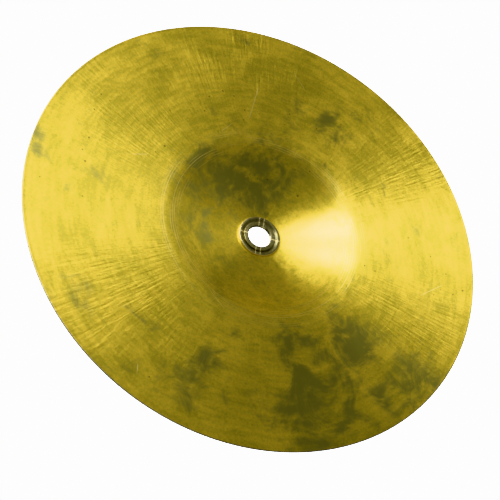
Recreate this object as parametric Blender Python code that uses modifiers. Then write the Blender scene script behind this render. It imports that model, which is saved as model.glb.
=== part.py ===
"""A small crash cymbal: one spun sheet of brass, with a brass eyelet crimped into its mounting hole.

The origin is the centre of the rim's plane, on the hole's axis, and the bell rises along +Z. Every piece is
turned: a profile in the XZ plane, drawn at +X, goes once round the Z axis.
"""

import math

import bmesh
import bpy

# Driving dimensions, in metres.
RIM_RADIUS = 0.127
SHEET = 0.0009  # thickness of the spun brass
SHOULDER_RADIUS = 0.0547  # where the bell meets the bow
BOW_RISE = 0.0130  # from the rim's plane up to the shoulder, along the middle of the sheet
BOW_START = 0.7  # slope of the bow at the shoulder, as a share of its mean slope
BELL_RISE = 0.0147  # from the shoulder up to the seat around the hole
SHOULDER_SOFTNESS = 0.0018  # how far the hollow corner between bow and bell is rounded off
SEAT_RADIUS = 0.0136  # the flat round the hole

BORE_RADIUS = 0.0068  # the hole that the stand's sleeve goes through
BARREL_WALL = 0.0004
BARREL_CLEARANCE = 0.0002  # between the barrel and the two holes it passes through
FLANGE_RADIUS = 0.0102
FLANGE_THICKNESS = 0.0004
LIP_RADIUS = 0.0094
LIP_THICKNESS = 0.0004
LIP_ROUNDING = 0.00015
LIP_CLEARANCE = 0.0002  # between the lip and the foot of the washer's countersink
WASHER_RADIUS = 0.0125
WASHER_THICKNESS = 0.00105
WASHER_ROUNDING = 0.0002
LEDGE_THICKNESS = 0.0004  # of the washer, above the lip that holds it
COUNTERSINK_RADIUS = 0.0109  # at the washer's lower face
GAP = 0.00015  # between faces that lie on each other

PLATE_STEPS = 96
EYELET_STEPS = 48
BELL_STATIONS = 7
SHOULDER_STATIONS = 6
BOW_STATIONS = 7
SHOULDER_REACH = 0.008  # the close stations run this far to each side of the shoulder
ARC_POINTS = 3
MERGE_DISTANCE = 0.00001

BARREL_RADIUS = BORE_RADIUS + BARREL_WALL
HOLE_RADIUS = BARREL_RADIUS + BARREL_CLEARANCE

BRASS_COLOR = (0.62, 0.47, 0.07, 1.0)
EYELET_COLOR = (0.30, 0.24, 0.08, 1.0)
WASHER_COLOR = (0.36, 0.29, 0.09, 1.0)


def clear_scene():
    for old in list(bpy.data.objects):
        bpy.data.objects.remove(old)


def brass(name, color, roughness):
    material = bpy.data.materials.new(name)
    material.use_nodes = True
    shader = material.node_tree.nodes["Principled BSDF"]
    shader.inputs["Base Color"].default_value = color
    shader.inputs["Metallic"].default_value = 1.0
    shader.inputs["Roughness"].default_value = roughness
    return material


def spread(start, end, count):
    """Evenly spaced values from start up to end, leaving end out."""
    return [start + (end - start) * i / count for i in range(count)]


def arc(center_r, center_z, radius, start_deg, end_deg):
    """Points (r, z) along an arc, both ends included, by its angle from the r axis."""
    angles = [
        math.radians(start_deg + (end_deg - start_deg) * i / (ARC_POINTS - 1))
        for i in range(ARC_POINTS)
    ]
    return [(center_r + radius * math.cos(a), center_z + radius * math.sin(a)) for a in angles]


def bow_height(radius):
    """The bow's middle surface: a parabola that steepens towards the rim, where it ends half a sheet up."""
    share = (radius - SHOULDER_RADIUS) / (RIM_RADIUS - SHOULDER_RADIUS)
    return SHEET / 2 + BOW_RISE * (1 - share * (BOW_START + (1 - BOW_START) * share))


def bell_height(radius):
    """The bell's middle surface: a dome that passes through the shoulder and through the edge of the seat."""
    span = SHOULDER_RADIUS**2 - SEAT_RADIUS**2
    return bow_height(SHOULDER_RADIUS) + BELL_RISE * (SHOULDER_RADIUS**2 - radius**2) / span


def plate_height(radius):
    """The whole middle surface: the higher of bow and bell, blended round the shoulder, and level at the seat."""
    radius = max(radius, SEAT_RADIUS)
    bow = bow_height(radius)
    bell = bell_height(radius)
    return (bow + bell + math.hypot(bow - bell, SHOULDER_SOFTNESS)) / 2


def plate_normal(radius):
    """Unit vector (r, z) standing on the middle surface, on the bell's side."""
    if radius < SEAT_RADIUS:
        return 0.0, 1.0
    step = SHEET / 100
    slope = (plate_height(radius + step) - plate_height(radius)) / step
    length = math.hypot(slope, 1)
    return -slope / length, 1 / length


def plate_stations():
    """Radii from the hole to the rim, closer together round the shoulder."""
    inner = SHOULDER_RADIUS - SHOULDER_REACH
    outer = SHOULDER_RADIUS + SHOULDER_REACH
    return (
        [HOLE_RADIUS]
        + spread(SEAT_RADIUS, inner, BELL_STATIONS)
        + spread(inner, outer, SHOULDER_STATIONS)
        + spread(outer, RIM_RADIUS - SHEET / 2, BOW_STATIONS)
    )


def plate_profile():
    top = []
    underside = []
    for radius in plate_stations():
        across, up = plate_normal(radius)
        height = plate_height(radius)
        offset_r = across * SHEET / 2
        offset_z = up * SHEET / 2
        if radius == HOLE_RADIUS:
            offset_r = 0.0
        top.append((radius + offset_r, height + offset_z))
        underside.append((radius - offset_r, height - offset_z))
    rim = arc(RIM_RADIUS - SHEET / 2, SHEET / 2, SHEET / 2, 90, -90)
    return top + rim + underside[::-1]


def seat_underside():
    return plate_height(SEAT_RADIUS) - SHEET / 2


def flange_underside():
    return seat_underside() + SHEET + GAP


def washer_underside():
    return seat_underside() - GAP - WASHER_THICKNESS


def ledge_underside():
    """The floor of the washer's countersink, which the lip is rolled against."""
    return seat_underside() - GAP - LEDGE_THICKNESS


def lip_top():
    return ledge_underside() - GAP


def eyelet_profile():
    """Down the outer side: the flange, the barrel and the rolled lip. Then up the bore."""
    rounding = LIP_ROUNDING
    flange_top = flange_underside() + FLANGE_THICKNESS
    lip_bottom = lip_top() - LIP_THICKNESS
    points = arc(BORE_RADIUS + rounding, flange_top - rounding, rounding, 180, 90)
    points += arc(FLANGE_RADIUS - rounding, flange_top - rounding, rounding, 90, 0)
    points += [(FLANGE_RADIUS, flange_underside())]
    points += [(BARREL_RADIUS, flange_underside())]
    points += [(BARREL_RADIUS, lip_top())]
    points += [(LIP_RADIUS - rounding, lip_top())]
    points += arc(LIP_RADIUS - rounding, lip_bottom + rounding, rounding, 0, -90)
    points += arc(BORE_RADIUS + rounding, lip_bottom + rounding, rounding, -90, -180)
    return points


def washer_profile():
    """A ring whose lower outer edge is rounded, countersunk so that the lip lies inside its thickness."""
    top = seat_underside() - GAP
    rounding = WASHER_ROUNDING
    points = [(HOLE_RADIUS, top), (WASHER_RADIUS, top)]
    points += arc(WASHER_RADIUS - rounding, washer_underside() + rounding, rounding, 0, -90)
    points += [(COUNTERSINK_RADIUS, washer_underside())]
    points += [(LIP_RADIUS + LIP_CLEARANCE, ledge_underside())]
    points += [(HOLE_RADIUS, ledge_underside())]
    return points


def turned(name, profile, steps, material, collection):
    """A closed profile taken once round the Z axis by a Screw modifier."""
    mesh = bpy.data.meshes.new(name)
    outline = bmesh.new()
    verts = [outline.verts.new((r, 0, z)) for r, z in profile]
    for here, following in zip(verts, verts[1:] + verts[:1]):
        outline.edges.new((here, following))
    outline.to_mesh(mesh)
    outline.free()
    mesh.materials.append(material)
    piece = bpy.data.objects.new(name, mesh)
    collection.objects.link(piece)
    screw = piece.modifiers.new("Turn", "SCREW")
    screw.axis = "Z"
    screw.steps = steps
    screw.render_steps = steps
    screw.use_merge_vertices = True
    screw.merge_threshold = MERGE_DISTANCE
    screw.use_smooth_shade = True
    return piece


def build():
    clear_scene()
    parts = bpy.data.collections.new("crash_cymbal")
    bpy.context.scene.collection.children.link(parts)
    turned("cymbal_plate", plate_profile(), PLATE_STEPS, brass("plate_brass", BRASS_COLOR, 0.32), parts)
    turned("hole_eyelet", eyelet_profile(), EYELET_STEPS, brass("eyelet_brass", EYELET_COLOR, 0.22), parts)
    turned("eyelet_washer", washer_profile(), EYELET_STEPS, brass("washer_brass", WASHER_COLOR, 0.25), parts)


build()
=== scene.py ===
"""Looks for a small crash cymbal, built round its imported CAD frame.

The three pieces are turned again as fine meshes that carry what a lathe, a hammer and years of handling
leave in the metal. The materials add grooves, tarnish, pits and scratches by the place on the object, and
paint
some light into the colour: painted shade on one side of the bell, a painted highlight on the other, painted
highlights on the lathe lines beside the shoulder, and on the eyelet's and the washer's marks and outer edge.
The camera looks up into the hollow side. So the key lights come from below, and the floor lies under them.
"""

import math

import bpy
import numpy as np
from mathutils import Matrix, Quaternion, Vector


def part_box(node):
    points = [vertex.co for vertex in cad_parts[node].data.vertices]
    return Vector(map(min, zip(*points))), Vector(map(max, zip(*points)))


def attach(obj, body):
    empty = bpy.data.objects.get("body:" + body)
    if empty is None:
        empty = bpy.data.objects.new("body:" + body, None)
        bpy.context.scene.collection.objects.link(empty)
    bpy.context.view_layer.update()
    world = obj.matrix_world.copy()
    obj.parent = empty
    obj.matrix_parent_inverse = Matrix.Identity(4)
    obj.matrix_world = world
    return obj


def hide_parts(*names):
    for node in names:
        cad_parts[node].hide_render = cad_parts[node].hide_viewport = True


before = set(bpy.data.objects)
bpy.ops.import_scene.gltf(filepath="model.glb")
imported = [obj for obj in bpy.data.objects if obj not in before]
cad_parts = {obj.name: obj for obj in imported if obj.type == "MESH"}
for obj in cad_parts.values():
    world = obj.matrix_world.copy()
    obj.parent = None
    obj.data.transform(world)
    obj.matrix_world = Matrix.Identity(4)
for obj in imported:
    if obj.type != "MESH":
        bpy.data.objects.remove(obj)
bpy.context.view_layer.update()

PLATE_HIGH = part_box("cymbal_plate")[1]
EYELET_LOW, EYELET_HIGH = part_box("hole_eyelet")
WASHER_LOW, WASHER_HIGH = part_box("eyelet_washer")

# The turned shape, in metres. What the frame's boxes give comes from them.
RIM_RADIUS = PLATE_HIGH.x
SHEET = 0.0009
SHOULDER_RADIUS = 0.0547
BOW_RISE = 0.0130
BOW_START = 0.7  # the bow's slope at the shoulder, as a share of its mean slope
BELL_RISE = 0.0147
SHOULDER_SOFTNESS = 0.0018
SEAT_RADIUS = 0.0136
BORE_RADIUS = 0.0068
BARREL_WALL = 0.0004
HOLE_CLEARANCE = 0.00005
FLANGE_RADIUS = EYELET_HIGH.x
LIP_RADIUS = 0.0095
WASHER_RADIUS = WASHER_HIGH.x
LEDGE_THICKNESS = 0.0004
COUNTERSINK_RADIUS = 0.0109
BARREL_RADIUS = BORE_RADIUS + BARREL_WALL
MOUTH_ROUNDING = 0.00035
FLANGE_ROUNDING = 0.00018
WASHER_TOP_ROUNDING = 0.0001
WASHER_ROUNDING = 0.00045  # at its lower outer edge
CONTACT_GAP = 0.00002  # left between faces that lie on each other

# How finely the pieces are turned.
PLATE_SEGMENTS = 480
EYELET_SEGMENTS = 240
COARSE_STEP = 0.0008
FINE_STEP = 0.0003
FINE_REACH = 0.009  # the plate's fine rings run this far to each side of the shoulder
EYELET_STEP = 0.0003  # about how close the eyelet's and the washer's points lie, for the painted marks

# Relief in the plate's mesh, in metres.
WANDER_HEIGHT = 0.00003  # slow unevenness of the spun sheet
SHOULDER_GROOVE = 0.000012
SHOULDER_PITCH = 0.0013
SHOULDER_SPREAD = 0.0035  # the grooves beside the shoulder die out over about this distance
HAMMER_HEIGHT = 0.000012
RIM_FADE = 0.004  # the relief dies out over this width at the rim and the seat

# Colours, linear, and finish.
CLEAN_BRASS = (0.98, 0.74, 0.115, 1)
DULL_BRASS = (0.56, 0.455, 0.07, 1)
# the colour of tarnish, also used as painted shade on one side of the bell
TARNISH_AND_SHADE_COLOR = (0.32, 0.295, 0.085, 1)
PIT_COLOR = (0.20, 0.15, 0.04, 1)
LATHE_HIGHLIGHT_AND_SCRATCH_COLOR = (1.0, 0.84, 0.30, 1)  # painted highlights on the lathe lines beside the shoulder, and bare metal in the scratches
EDGE_COLOR = (0.42, 0.39, 0.30, 1)  # the rim's cut edge
EYELET_COLOR = (0.32, 0.29, 0.13, 1)
EYELET_SHADE = (0.18, 0.165, 0.085, 1)
# painted highlight on the scribed marks and on the outer edge of the eyelet and the washer
MARK_HIGHLIGHT_COLOR = (1.0, 0.86, 0.42, 1)
BOW_ROUGHNESS = 0.34
BELL_ROUGHNESS = 0.28
TARNISH_ROUGHNESS = 0.46
ANISOTROPY = 0.8
GROOVE_TURN = 0.25  # a quarter turn lays the gloss across the grooves, which run round the axis

# The plate's texture. Scales are per metre. Pairs are steps for each radian round and each metre of radius.
CLOUD_SCALE = 62
CLOUD_SWING = 2.6
SMEAR_STEPS = (5, 130)
SMEAR_SWING = 1.2
SMEAR_IN_FILM = 0.5
STREAK_STEPS = (7, 420)
STREAK_IN_FILM = 0.6
FILM_SCALE = 34
GRAIN_SCALE = 800
GRAIN_SWING = 2.6
# where the tarnish and painted shade mask sets in and where it is full
TARNISH_AND_SHADE_START = 0.20
TARNISH_AND_SHADE_FULL = 0.98
PIT_SCALE = 150
PIT_SIZE_SCALE = 90
PIT_ROOM_SCALE = 16
PIT_SIZE = 0.17
PIT_EDGE = 0.03
LINE_FULL = 0.003  # the painted highlights on the lathe lines are full within this distance of the shoulder
LINE_END = 0.009
LINE_BREAK_STEPS = (2, 400)
SCRATCH_START = 0.002  # a scratch fades in over this length
SCRATCH_END = 0.004
FILM_DULLS = 0.54
# how far negative patches clean the brass: rubbing on the bow, and a painted highlight in the bell
CLEANING_AND_HIGHLIGHT = 0.7
# how strongly the painted highlights on the lathe lines and the scratches show
HIGHLIGHT_AND_SCRATCH_COVER = 0.8
PIT_COVER = 0.8
FILM_ROUGHENS = 0.03
RING_STEPS = (3, 480)
RING_HEIGHT = 0.5
STROKE_STEPS = (60, 75)
STROKE_ROOM_STEPS = (4, 40)
STROKED_DEPTH = 2.6
DENT_SCALE = 130
DENT_HEIGHT = 0.8
PLATE_BUMP = 0.00006  # metres of relief for a height of 1

# The eyelet's and the washer's finish and texture.
FITTED_ANISOTROPY = 0.5
FITTED_ROUGHNESS = 0.28
FITTED_CLOUD_SCALE = 420
CLOUD_ROUGHENS = 0.08
MARK_ROUGHENS = 0.35
FITTED_RING_STEPS = (1.5, 3500)
FITTED_BUMP = 0.000006

# Tarnish patches, and painted shade and a painted highlight in the bell: azimuth in degrees, then in mm how
# far
# from the axis, how long along the radius and how wide, and last how dark. A negative number makes a patch
# clean:
# rubbed clean on the bow, and a painted highlight in the bell.
TARNISH_AND_PAINTED_LIGHT = (
    (215, 94, 36, 52, 0.42),
    (228, 112, 20, 40, 0.32),
    (84, 84, 30, 34, 0.22),
    (262, 100, 30, 26, 0.22),
    (225, 66, 12, 40, 0.15),
    # The next four patches, in the bell, are painted shade: they darken the side of the bell that lies in
    # shade.
    (34, 34, 30, 46, 0.98),
    (8, 42, 14, 24, 0.75),
    (62, 36, 16, 22, 0.7),
    (318, 38, 18, 26, 0.45),
    # The next patch is a painted highlight: clean, bright brass where the bell's brightest reflection falls.
    (140, 34, 26, 30, -1.0),
    (85, 70, 8, 8, -0.25),
    (180, 65, 9, 12, -0.25),
    (268, 72, 10, 14, -0.3),
    (226, 69, 9, 16, 0.7),
    (229, 87, 26, 11, 0.9),
    (231, 107, 22, 18, 1.0),
    (225, 119, 8, 26, 0.5),
    (203, 68, 16, 15, 0.95),
    (206, 86, 14, 26, 0.95),
    (216, 88, 16, 9, 0.8),
    (193, 112, 14, 12, 0.9),
    (191, 122, 6, 12, 0.7),
    (208, 119, 15, 8, 0.9),
    (218, 106, 12, 12, 0.5),
    (261, 91, 14, 14, 0.65),
    (262, 108, 16, 13, 0.7),
    (198, 114, 18, 16, 0.6),
    (254, 70, 15, 4, 0.5),
    (245, 34, 13, 7, 0.35),
    (83, 86, 17, 8, 0.5),
    (93, 86, 9, 10, 0.4),
    (72, 84, 5, 12, 0.25),
    (334, 124, 6, 14, 0.9),
    (328, 90, 4, 8, 0.25),
)

# Where the short strokes along the radius are deepest, in the same terms.
STROKED = (
    (296, 90, 64, 50, 1.0),
    (119, 96, 60, 34, 1.0),
    (176, 98, 56, 34, 0.8),
    (354, 94, 60, 40, 0.7),
    (45, 108, 24, 60, 0.5),
)

# Scratches: where each one starts (degrees, and mm from the axis), which azimuth it runs toward, and in mm
# its length and half its width.
SCRATCHES = (
    (48, 69, 70, 25, 0.40),
    (275, 112, 240, 7, 0.35),
    (30, 62, 100, 12, 0.22),
    (262, 60, 20, 16, 0.22),
    (168, 96, 120, 18, 0.25),
    (66, 108, 200, 14, 0.22),
    (350, 74, 310, 11, 0.22),
)

# Marks scribed in the washer and the lip, painted bright as highlights: one line through the axis, and a
# pair of short chords. Azimuth in degrees, and in metres how far the line passes from the axis.
SCRIBED_LINES = ((155, 0.0), (65, 0.0014), (65, -0.0014))
SCRIBED_WIDTH = 0.00017
SCRIBED_REACH = 1.6  # a mark ends this many widths from its middle, and is full one width nearer

# Softboxes: azimuth and tilt in degrees, radiance, and size in metres.
LIGHT_DISTANCE = 1.5
LOWER_LIGHTS = (
    (31, 46, 10.0, 0.36),
    (10, 32, 9.6, 0.48),
    (44, 33, 1.9, 1.0),
    (110, 78, 0.5, 0.8),
)
UPPER_LIGHTS = (
    (20, 34, 8.0, 0.6),
    (70, 46, 4.0, 0.9),
    (250, 60, 1.5, 1.0),
)
AMBIENT = 0.20
BACKDROP = 4.0
FLOOR_HEIGHT = -1.9
FLOOR_REACH = 60
FLOOR_COLOR = (0.85, 0.85, 0.84, 1)
FLOOR_ROUGHNESS = 0.9
FLOOR_GLOW = 1.0  # stands in for the studio's light on the floor, and isn't cast on the cymbal

# The camera: lens and frame in mm, shifts in frame widths, places in metres, roll in degrees. The lens goes
# with the heights above. A longer lens with a lower cymbal fits the photograph about as well.
FRAME_WIDTH = 36
LENS = 46.8
SHIFT_X = -0.0858
SHIFT_Y = 0.0722
CAMERA_PLACE = (0, -0.2160, -0.2776)
CAMERA_AIM = (-0.0290, -0.0317, 0)
CAMERA_ROLL = -135.65


def bow_height(radius):
    """The bow's middle surface: a parabola that steepens towards the rim."""
    share = (radius - SHOULDER_RADIUS) / (RIM_RADIUS - SHOULDER_RADIUS)
    return SHEET / 2 + BOW_RISE * (1 - share * (BOW_START + (1 - BOW_START) * share))


def plate_height(radius):
    """The sheet's middle: the higher of bow and bell, blended where they meet, and level at the seat."""
    radius = np.maximum(radius, SEAT_RADIUS)
    bow = bow_height(radius)
    span = SHOULDER_RADIUS**2 - SEAT_RADIUS**2
    bell = bow_height(SHOULDER_RADIUS) + BELL_RISE * (SHOULDER_RADIUS**2 - radius**2) / span
    return (bow + bell + np.hypot(bow - bell, SHOULDER_SOFTNESS)) / 2


def seat_underside():
    return float(plate_height(SEAT_RADIUS)) - SHEET / 2


def ledge_underside():
    """The floor of the washer's countersink, which the eyelet's lip is rolled against."""
    return seat_underside() - CONTACT_GAP - LEDGE_THICKNESS


def arc(center_r, center_z, radius, start_deg, end_deg, count):
    """Points (r, z) along an arc, both ends included, by its angle from the r axis."""
    angles = np.radians(np.linspace(start_deg, end_deg, count))
    return np.stack([center_r + radius * np.cos(angles), center_z + radius * np.sin(angles)], axis=1)


def turned_mesh(name, profile, segments, relief=None):
    """A closed ring of quads from a profile of (r, z) points, clockwise in the XZ plane.

    relief(radius, around) gives how far each point moves up.
    """
    count = len(profile)
    angle = np.arange(segments) * 2 * math.pi / segments
    radius = np.tile(profile[:, 0], (segments, 1))
    height = np.tile(profile[:, 1], (segments, 1))
    around = np.tile(angle[:, None], (1, count))
    if relief is not None:
        height = height + relief(radius, around)
    points = np.stack([radius * np.cos(around), radius * np.sin(around), height], axis=2).reshape(-1, 3)
    ring, place = np.meshgrid(np.arange(segments), np.arange(count), indexing="ij")
    next_ring = (ring + 1) % segments
    next_place = (place + 1) % count
    corners = (
        ring * count + place,
        ring * count + next_place,
        next_ring * count + next_place,
        next_ring * count + place,
    )
    faces = np.stack(corners, axis=2).reshape(-1, 4)
    mesh = bpy.data.meshes.new(name)
    mesh.from_pydata(points.tolist(), [], faces.tolist())
    mesh.shade_smooth()
    piece = bpy.data.objects.new(name, mesh)
    bpy.context.scene.collection.objects.link(piece)
    return piece


def plate_radii():
    """Ring radii from the hole to the rim, closer together round the shoulder."""
    inner = SHOULDER_RADIUS - FINE_REACH
    outer = SHOULDER_RADIUS + FINE_REACH
    return np.concatenate(
        [
            np.arange(BARREL_RADIUS + HOLE_CLEARANCE, inner, COARSE_STEP),
            np.arange(inner, outer, FINE_STEP),
            np.arange(outer, RIM_RADIUS - SHEET, COARSE_STEP),
        ]
    )


def plate_profile():
    radii = plate_radii()
    height = plate_height(radii)
    slope = np.gradient(height, radii)
    slope[radii < SEAT_RADIUS] = 0
    length = np.hypot(slope, 1)
    offset = np.stack([-slope / length, 1 / length], axis=1) * SHEET / 2
    middle = np.stack([radii, height], axis=1)
    rim = arc(RIM_RADIUS - SHEET / 2, SHEET / 2, SHEET / 2, 90, -90, 9)
    return np.concatenate([middle + offset, rim, (middle - offset)[::-1]])


def wave(radius, around, count, per_metre, start=0.0):
    """A wave with that many crests round the plate, turned by so many radians for each metre of radius."""
    return np.sin(count * around + per_metre * radius + start)


def plate_relief(radius, around):
    """Slow unevenness of the sheet, soft hammer marks, and the deeper grooves beside the shoulder."""
    rim_fade = np.clip((RIM_RADIUS - SHEET - radius) / RIM_FADE, 0, 1)
    seat_fade = np.clip((radius - SEAT_RADIUS) / RIM_FADE, 0, 1)
    wander = wave(radius, around, 2, 90) + 0.7 * wave(radius, around, 5, -140, 1.1)
    hammer = wave(radius, around, 23, 60) * wave(radius, around, 3, 190)
    near = np.exp(-(((radius - SHOULDER_RADIUS) / SHOULDER_SPREAD) ** 2))
    groove = near * np.sin(radius * 2 * math.pi / SHOULDER_PITCH)
    relief = WANDER_HEIGHT * wander + HAMMER_HEIGHT * hammer + SHOULDER_GROOVE * groove
    return rim_fade * seat_fade * relief


def dense(profile, step):
    """The same outline with extra points on its long straight runs, so that marks can be painted on them."""
    points = []
    for start, end in zip(profile, np.roll(profile, -1, axis=0)):
        count = max(1, int(math.dist(start, end) / step))
        points += [start + (end - start) * i / count for i in range(count)]
    return np.array(points)


def eyelet_profile():
    """Down the outer side: the flange, the barrel and the rolled lip. Then up the bore."""
    top = EYELET_HIGH.z
    bottom = EYELET_LOW.z
    flange_under = seat_underside() + SHEET + CONTACT_GAP
    lip_top = ledge_underside() - CONTACT_GAP
    lip_edge = (lip_top - bottom) / 2
    mouth = MOUTH_ROUNDING
    corner = FLANGE_ROUNDING
    return np.concatenate(
        [
            arc(BORE_RADIUS + mouth, top - mouth, mouth, 180, 90, 7),
            arc(FLANGE_RADIUS - corner, top - corner, corner, 90, 0, 6),
            [(FLANGE_RADIUS, flange_under), (BARREL_RADIUS, flange_under), (BARREL_RADIUS, lip_top)],
            arc(LIP_RADIUS - lip_edge, lip_top - lip_edge, lip_edge, 90, -90, 11),
            arc(BORE_RADIUS + mouth, bottom + mouth, mouth, -90, -180, 7),
        ]
    )


def washer_profile():
    """A ring that is well rounded at its lower outer edge, with a countersink for the eyelet's lip."""
    top = seat_underside() - CONTACT_GAP
    bottom = WASHER_LOW.z
    inside = BARREL_RADIUS + HOLE_CLEARANCE
    upper = WASHER_TOP_ROUNDING
    lower = WASHER_ROUNDING
    return np.concatenate(
        [
            [(inside, top)],
            arc(WASHER_RADIUS - upper, top - upper, upper, 90, 0, 4),
            arc(WASHER_RADIUS - lower, bottom + lower, lower, 0, -90, 9),
            [(COUNTERSINK_RADIUS, bottom)],
            [(LIP_RADIUS + HOLE_CLEARANCE, ledge_underside())],
            [(inside, ledge_underside())],
        ]
    )


def vertex_places(piece):
    points = np.empty(len(piece.data.vertices) * 3)
    piece.data.vertices.foreach_get("co", points)
    return points.reshape(-1, 3)


def paint(piece, name, values):
    """Stores one number for each vertex, for the material to read."""
    attribute = piece.data.attributes.new(name, "FLOAT", "POINT")
    attribute.data.foreach_set("value", np.asarray(values, dtype=np.float32))


def patch_share(points, patches):
    """How strongly soft oval patches cover each point: 0 off them, up to 1, and below 0 on negative ones."""
    bare = np.ones(len(points))
    for azimuth, radius_mm, length_mm, width_mm, strength in patches:
        turn = math.radians(azimuth)
        along = (points[:, 0] * math.cos(turn) + points[:, 1] * math.sin(turn)) * 1000 - radius_mm
        across = (points[:, 1] * math.cos(turn) - points[:, 0] * math.sin(turn)) * 1000
        reach = np.hypot(along / (length_mm / 2), across / (width_mm / 2))
        bare *= 1 - strength * np.exp(-(reach**2) / 2)
    return 1 - bare


def scribed_share(points):
    """1 on the scribed marks, which lie only below the sheet, and 0 away from them."""
    share = np.zeros(len(points))
    for azimuth, offset in SCRIBED_LINES:
        turn = math.radians(azimuth)
        across = points[:, 1] * math.cos(turn) - points[:, 0] * math.sin(turn) - offset
        share = np.maximum(share, np.clip(SCRIBED_REACH - np.abs(across) / SCRIBED_WIDTH, 0, 1))
    return share * (points[:, 2] < seat_underside())


def node(tree, kind, inputs=(), **settings):
    """A new node. Each input is either a value or the socket that feeds it."""
    made = tree.nodes.new(kind)
    for key, value in settings.items():
        setattr(made, key, value)
    for key, value in dict(inputs).items():
        if isinstance(value, bpy.types.NodeSocket):
            tree.links.new(value, made.inputs[key])
        else:
            made.inputs[key].default_value = value
    return made


def calc(tree, operation, first, second=0.0, third=0.0):
    made = node(tree, "ShaderNodeMath", {0: first, 1: second, 2: third}, operation=operation)
    return made.outputs[0]


def ramp(tree, value, start, end):
    """0 at start, 1 at end, smooth between them and level beyond them. Start may lie above end."""
    inputs = {"Value": value, "From Min": start, "From Max": end}
    made = node(tree, "ShaderNodeMapRange", inputs, interpolation_type="SMOOTHSTEP")
    return made.outputs["Result"]


def color_mix(tree, share, first, second):
    """One colour turning into another as share goes from 0 to 1."""
    made = node(tree, "ShaderNodeMix", {0: share, 6: first, 7: second}, data_type="RGBA")
    return made.outputs[2]


def noise(tree, vector, scale, detail=2.0, roughness=0.5, distortion=0.0):
    inputs = {
        "Vector": vector,
        "Scale": scale,
        "Detail": detail,
        "Roughness": roughness,
        "Distortion": distortion,
    }
    return node(tree, "ShaderNodeTexNoise", inputs).outputs["Fac"]


def swing(tree, value, span):
    """A noise spread over that span, with its middle moved to 0."""
    return calc(tree, "MULTIPLY_ADD", value, span, -span / 2)


class TurnedPlace:
    """Sockets that say where a point lies on a turned piece."""

    def __init__(self, tree):
        self.tree = tree
        self.place = node(tree, "ShaderNodeTexCoord").outputs["Object"]
        split = node(tree, "ShaderNodeSeparateXYZ", {0: self.place})
        self.x = split.outputs[0]
        self.y = split.outputs[1]
        square = calc(tree, "MULTIPLY_ADD", self.x, self.x, calc(tree, "MULTIPLY", self.y, self.y))
        self.radius = calc(tree, "SQRT", square)

    def polar(self, around, along):
        """Coordinates that take around steps for each radian and along steps for each metre of radius."""
        tree = self.tree
        cosine = calc(tree, "DIVIDE", self.x, self.radius)
        sine = calc(tree, "DIVIDE", self.y, self.radius)
        inputs = {
            0: calc(tree, "MULTIPLY", cosine, around),
            1: calc(tree, "MULTIPLY", sine, around),
            2: calc(tree, "MULTIPLY", self.radius, along),
        }
        return node(tree, "ShaderNodeCombineXYZ", inputs).outputs[0]

    def line(self, azimuth, radius_mm, toward, length_mm, half_width_mm):
        """1 on a straight scratch that starts at that place and runs toward that azimuth, and 0 off it."""
        tree = self.tree
        start_x = radius_mm / 1000 * math.cos(math.radians(azimuth))
        start_y = radius_mm / 1000 * math.sin(math.radians(azimuth))
        cosine = math.cos(math.radians(toward))
        sine = math.sin(math.radians(toward))
        x = calc(tree, "SUBTRACT", self.x, start_x)
        y = calc(tree, "SUBTRACT", self.y, start_y)
        along = calc(tree, "MULTIPLY_ADD", x, cosine, calc(tree, "MULTIPLY", y, sine))
        across = calc(tree, "MULTIPLY_ADD", x, -sine, calc(tree, "MULTIPLY", y, cosine))
        near = ramp(tree, calc(tree, "ABSOLUTE", across), half_width_mm / 1000, half_width_mm / 3000)
        begun = ramp(tree, along, 0.0, SCRATCH_START)
        ended = ramp(tree, along, length_mm / 1000, length_mm / 1000 - SCRATCH_END)
        return calc(tree, "MULTIPLY", near, calc(tree, "MULTIPLY", begun, ended))


def turned_metal(name, anisotropy):
    """A metal whose gloss is drawn out across grooves that run round the Z axis."""
    material = bpy.data.materials.new(name)
    material.use_nodes = True
    tree = material.node_tree
    shader = tree.nodes["Principled BSDF"]
    shader.inputs["Metallic"].default_value = 1.0
    shader.inputs["Anisotropic"].default_value = anisotropy
    shader.inputs["Anisotropic Rotation"].default_value = GROOVE_TURN
    tangent = node(tree, "ShaderNodeTangent", direction_type="RADIAL", axis="Z")
    tree.links.new(tangent.outputs[0], shader.inputs["Tangent"])
    return material, tree, shader


def raise_relief(tree, shader, height, distance):
    """Lets a height shade as relief. Distance is the metres that a height of 1 stands for."""
    inputs = {"Strength": 1.0, "Distance": distance, "Height": height}
    bump = node(tree, "ShaderNodeBump", inputs)
    tree.links.new(bump.outputs[0], shader.inputs["Normal"])


def plate_tarnish_and_shade(tree, here, patch, smear):
    """From 0 to 1: the patches of tarnish and of painted shade in the bell, with ragged edges, and weak
    stains in between.
    """
    cloud = noise(tree, here.place, CLOUD_SCALE, 5, 0.62, 0.8)
    edge = calc(tree, "ADD", swing(tree, cloud, CLOUD_SWING), swing(tree, smear, SMEAR_SWING))
    return ramp(tree, calc(tree, "ADD", patch, edge), TARNISH_AND_SHADE_START, TARNISH_AND_SHADE_FULL)


def plate_film(tree, here, smear):
    """A thin, cloudy film all over, with lines along the grooves and a fine grain. Never below 0."""
    streak = noise(tree, here.polar(*STREAK_STEPS), 1, 1)
    film = ramp(tree, noise(tree, here.place, FILM_SCALE, 5, 0.68, 0.5), 0.36, 0.64)
    film = calc(tree, "MULTIPLY_ADD", ramp(tree, smear, 0.35, 0.65), SMEAR_IN_FILM, film)
    film = calc(tree, "MULTIPLY_ADD", ramp(tree, streak, 0.35, 0.70), STREAK_IN_FILM, film)
    grain = swing(tree, noise(tree, here.place, GRAIN_SCALE, 2, 0.7), GRAIN_SWING)
    return calc(tree, "MAXIMUM", calc(tree, "ADD", film, grain), 0.0)


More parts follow.
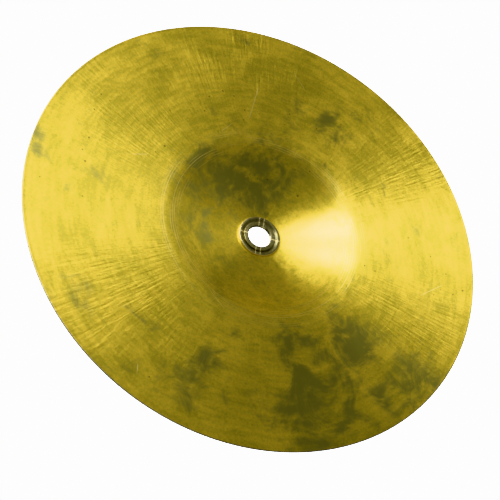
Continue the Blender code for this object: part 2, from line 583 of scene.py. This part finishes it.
def plate_pits(tree, here):
    """1 in small pits, which lie in groups, and 0 off them."""
    inputs = {"Vector": here.place, "Scale": PIT_SCALE, "Randomness": 1.0}
    cells = node(tree, "ShaderNodeTexVoronoi", inputs)
    room = ramp(tree, noise(tree, here.place, PIT_ROOM_SCALE, 1), 0.45, 0.60)
    size = calc(tree, "MULTIPLY", noise(tree, here.place, PIT_SIZE_SCALE, 1), PIT_SIZE)
    size = calc(tree, "MULTIPLY", size, room)
    return ramp(tree, calc(tree, "SUBTRACT", size, cells.outputs["Distance"]), 0.0, PIT_EDGE)


def lathe_highlights_and_scratches(tree, here):
    """1 on the painted highlights of the lathe lines beside the shoulder and on the scratches, and 0 off
    them.
    """
    groove = calc(tree, "SINE", calc(tree, "MULTIPLY", here.radius, 2 * math.pi / SHOULDER_PITCH))
    crest = ramp(tree, groove, 0.55, 0.95)
    distance = calc(tree, "ABSOLUTE", calc(tree, "SUBTRACT", here.radius, SHOULDER_RADIUS))
    beside = ramp(tree, distance, LINE_END, LINE_FULL)
    broken = ramp(tree, noise(tree, here.polar(*LINE_BREAK_STEPS), 1, 1), 0.44, 0.64)
    bare = calc(tree, "MULTIPLY", calc(tree, "MULTIPLY", crest, beside), broken)
    for scratch in SCRATCHES:
        bare = calc(tree, "MAXIMUM", bare, here.line(*scratch))
    return bare


def plate_texture(tree, here, on_bow):
    """A height: fine rings from the lathe, short strokes along the radius of the bow, and faint dents."""
    rings = noise(tree, here.polar(*RING_STEPS), 1, 1)
    strokes = noise(tree, here.polar(*STROKE_STEPS), 1, 3, 0.6)
    room = ramp(tree, noise(tree, here.polar(*STROKE_ROOM_STEPS), 1, 1), 0.34, 0.60)
    stroked = node(tree, "ShaderNodeAttribute", attribute_name="stroked").outputs["Fac"]
    depth = calc(tree, "MULTIPLY", calc(tree, "MULTIPLY_ADD", stroked, STROKED_DEPTH, room), on_bow)
    dents = noise(tree, here.place, DENT_SCALE)
    height = calc(tree, "MULTIPLY_ADD", rings, RING_HEIGHT, calc(tree, "MULTIPLY", strokes, depth))
    return calc(tree, "MULTIPLY_ADD", dents, DENT_HEIGHT, height)


def plate_brass():
    material, tree, shader = turned_metal("turned_brass", ANISOTROPY)
    here = TurnedPlace(tree)
    patch = node(tree, "ShaderNodeAttribute", attribute_name="tarnish_and_painted_light").outputs["Fac"]
    smear = noise(tree, here.polar(*SMEAR_STEPS), 1, 3, 0.6)
    tarnish_and_painted_light = plate_tarnish_and_shade(tree, here, patch, smear)
    film = plate_film(tree, here, smear)

    # Negative patches clean the brass: rubbed spots on the bow, and a painted highlight in the bell.
    rubbed_and_painted_highlight = calc(tree, "MULTIPLY", calc(tree, "MINIMUM", patch, 0.0), CLEANING_AND_HIGHLIGHT)
    dullness_less_highlight = calc(tree, "ADD", calc(tree, "MULTIPLY", film, FILM_DULLS), rubbed_and_painted_highlight)
    # Painted highlights on the lathe lines beside the shoulder, and bright scratches.
    bare = calc(tree, "MULTIPLY", lathe_highlights_and_scratches(tree, here), HIGHLIGHT_AND_SCRATCH_COVER)
    pits = calc(tree, "MULTIPLY", plate_pits(tree, here), PIT_COVER)
    cut_edge = ramp(tree, here.radius, RIM_RADIUS - 0.0007, RIM_RADIUS - 0.0002)
    color = color_mix(tree, dullness_less_highlight, CLEAN_BRASS, DULL_BRASS)
    # Tarnish, and painted shade on one side of the bell.
    color = color_mix(tree, tarnish_and_painted_light, color, TARNISH_AND_SHADE_COLOR)
    color = color_mix(tree, bare, color, LATHE_HIGHLIGHT_AND_SCRATCH_COLOR)
    color = color_mix(tree, pits, color, PIT_COLOR)
    color = color_mix(tree, cut_edge, color, EDGE_COLOR)
    tree.links.new(color, shader.inputs["Base Color"])

    on_bow = ramp(tree, here.radius, SHOULDER_RADIUS - 0.006, SHOULDER_RADIUS + 0.004)
    roughness = calc(tree, "MULTIPLY_ADD", on_bow, BOW_ROUGHNESS - BELL_ROUGHNESS, BELL_ROUGHNESS)
    roughness = calc(tree, "MULTIPLY_ADD", film, FILM_ROUGHENS, roughness)
    rougher = calc(tree, "SUBTRACT", TARNISH_ROUGHNESS, roughness)
    roughness = calc(tree, "MULTIPLY_ADD", tarnish_and_painted_light, rougher, roughness)
    tree.links.new(roughness, shader.inputs["Roughness"])
    raise_relief(tree, shader, plate_texture(tree, here, on_bow), PLATE_BUMP)
    return material


def fitted_brass(name):
    """The eyelet's and the washer's brass: darkened, with painted highlights on the scribed marks and along
    the outer edge.
    """
    material, tree, shader = turned_metal(name, FITTED_ANISOTROPY)
    here = TurnedPlace(tree)
    # The scribed marks are painted bright: a painted highlight of their grooves catching the light.
    mark = node(tree, "ShaderNodeAttribute", attribute_name="mark").outputs["Fac"]
    cloud = ramp(tree, noise(tree, here.place, FITTED_CLOUD_SCALE, 4, 0.6), 0.35, 0.7)
    # Painted highlight: the outer edge is painted bright all round, for its rounded edge catching the light.
    painted_edge_highlight = ramp(tree, here.radius, WASHER_RADIUS - 0.0005, WASHER_RADIUS - 0.0001)
    color = color_mix(tree, cloud, EYELET_COLOR, EYELET_SHADE)
    color = color_mix(tree, calc(tree, "MAXIMUM", mark, painted_edge_highlight), color, MARK_HIGHLIGHT_COLOR)
    tree.links.new(color, shader.inputs["Base Color"])
    roughness = calc(tree, "MULTIPLY_ADD", cloud, CLOUD_ROUGHENS, FITTED_ROUGHNESS)
    roughness = calc(tree, "MULTIPLY_ADD", mark, MARK_ROUGHENS, roughness)
    tree.links.new(roughness, shader.inputs["Roughness"])
    rings = noise(tree, here.polar(*FITTED_RING_STEPS), 1, 2, 0.6)
    raise_relief(tree, shader, rings, FITTED_BUMP)
    return material


def finish_piece(piece, material, cad_node):
    piece.data.materials.append(material)
    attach(piece, "root")
    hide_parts(cad_node)


def build_plate():
    plate = turned_mesh("cymbal_plate_turned", plate_profile(), PLATE_SEGMENTS, plate_relief)
    points = vertex_places(plate)
    paint(plate, "tarnish_and_painted_light", patch_share(points, TARNISH_AND_PAINTED_LIGHT))
    paint(plate, "stroked", patch_share(points, STROKED))
    finish_piece(plate, plate_brass(), "cymbal_plate")


def build_eyelet():
    for name, profile, cad_node, slot in (
        ("hole_eyelet_turned", eyelet_profile(), "hole_eyelet", "eyelet_brass"),
        ("eyelet_washer_turned", washer_profile(), "eyelet_washer", "washer_brass"),
    ):
        piece = turned_mesh(name, dense(profile, EYELET_STEP), EYELET_SEGMENTS)
        paint(piece, "mark", scribed_share(vertex_places(piece)))
        finish_piece(piece, fitted_brass("darkened_" + slot), cad_node)


def studio():
    """White to the camera, and a weak even light on everything else."""
    world = bpy.data.worlds.new("studio")
    world.use_nodes = True
    bpy.context.scene.world = world
    tree = world.node_tree
    tree.nodes.clear()
    out = node(tree, "ShaderNodeOutputWorld")
    path = node(tree, "ShaderNodeLightPath")
    seen = node(tree, "ShaderNodeBackground", {"Color": (1, 1, 1, 1), "Strength": BACKDROP})
    ambient = node(tree, "ShaderNodeBackground", {"Color": (1, 1, 1, 1), "Strength": AMBIENT})
    inputs = {0: path.outputs["Is Camera Ray"], 1: ambient.outputs[0], 2: seen.outputs[0]}
    mix = node(tree, "ShaderNodeMixShader", inputs)
    tree.links.new(mix.outputs[0], out.inputs["Surface"])


def softbox(name, azimuth, tilt, radiance, size, vertical):
    """A square area light at that azimuth, tilted that far from straight down (vertical -1) or up (1)."""
    aside = math.sin(math.radians(tilt))
    turn = math.radians(azimuth)
    away = Vector((aside * math.cos(turn), aside * math.sin(turn), vertical * math.cos(math.radians(tilt))))
    light = bpy.data.lights.new(name, "AREA")
    light.size = size
    light.energy = radiance * math.pi * size**2
    lamp = bpy.data.objects.new(name, light)
    lamp.location = away * LIGHT_DISTANCE
    lamp.rotation_mode = "QUATERNION"
    lamp.rotation_quaternion = away.to_track_quat("Z", "Y")
    lamp.visible_camera = False
    bpy.context.scene.collection.objects.link(lamp)


def lights():
    for azimuth, tilt, radiance, size in LOWER_LIGHTS:
        softbox("lower_softbox", azimuth, tilt, radiance, size, -1)
    for azimuth, tilt, radiance, size in UPPER_LIGHTS:
        softbox("upper_softbox", azimuth, tilt, radiance, size, 1)


def floor():
    """A pale floor below the lights, which isn't mirrored in the metal."""
    reach = FLOOR_REACH
    corners = ((-reach, -reach), (reach, -reach), (reach, reach), (-reach, reach))
    mesh = bpy.data.meshes.new("floor")
    mesh.from_pydata([(x, y, FLOOR_HEIGHT) for x, y in corners], [], [(0, 1, 2, 3)])
    piece = bpy.data.objects.new("floor", mesh)
    bpy.context.scene.collection.objects.link(piece)
    material = bpy.data.materials.new("pale_floor")
    material.use_nodes = True
    shader = material.node_tree.nodes["Principled BSDF"]
    shader.inputs["Base Color"].default_value = FLOOR_COLOR
    shader.inputs["Roughness"].default_value = FLOOR_ROUGHNESS
    shader.inputs["Emission Color"].default_value = FLOOR_COLOR
    shader.inputs["Emission Strength"].default_value = FLOOR_GLOW
    mesh.materials.append(material)
    piece.visible_glossy = False
    piece.visible_diffuse = False


def camera():
    """Below the rim's plane, looking up into the bell, and rolled as the photograph is."""
    data = bpy.data.cameras.new("camera")
    data.sensor_width = FRAME_WIDTH
    data.lens = LENS
    data.shift_x = SHIFT_X
    data.shift_y = SHIFT_Y
    made = bpy.data.objects.new("camera", data)
    made.location = CAMERA_PLACE
    made.rotation_mode = "QUATERNION"
    track = (Vector(CAMERA_AIM) - made.location).to_track_quat("-Z", "Y")
    made.rotation_quaternion = track @ Quaternion((0, 0, 1), math.radians(CAMERA_ROLL))
    bpy.context.scene.collection.objects.link(made)
    bpy.context.scene.camera = made


build_plate()
build_eyelet()
studio()
lights()
floor()
camera()
bpy.context.scene.view_settings.view_transform = "Khronos PBR Neutral"
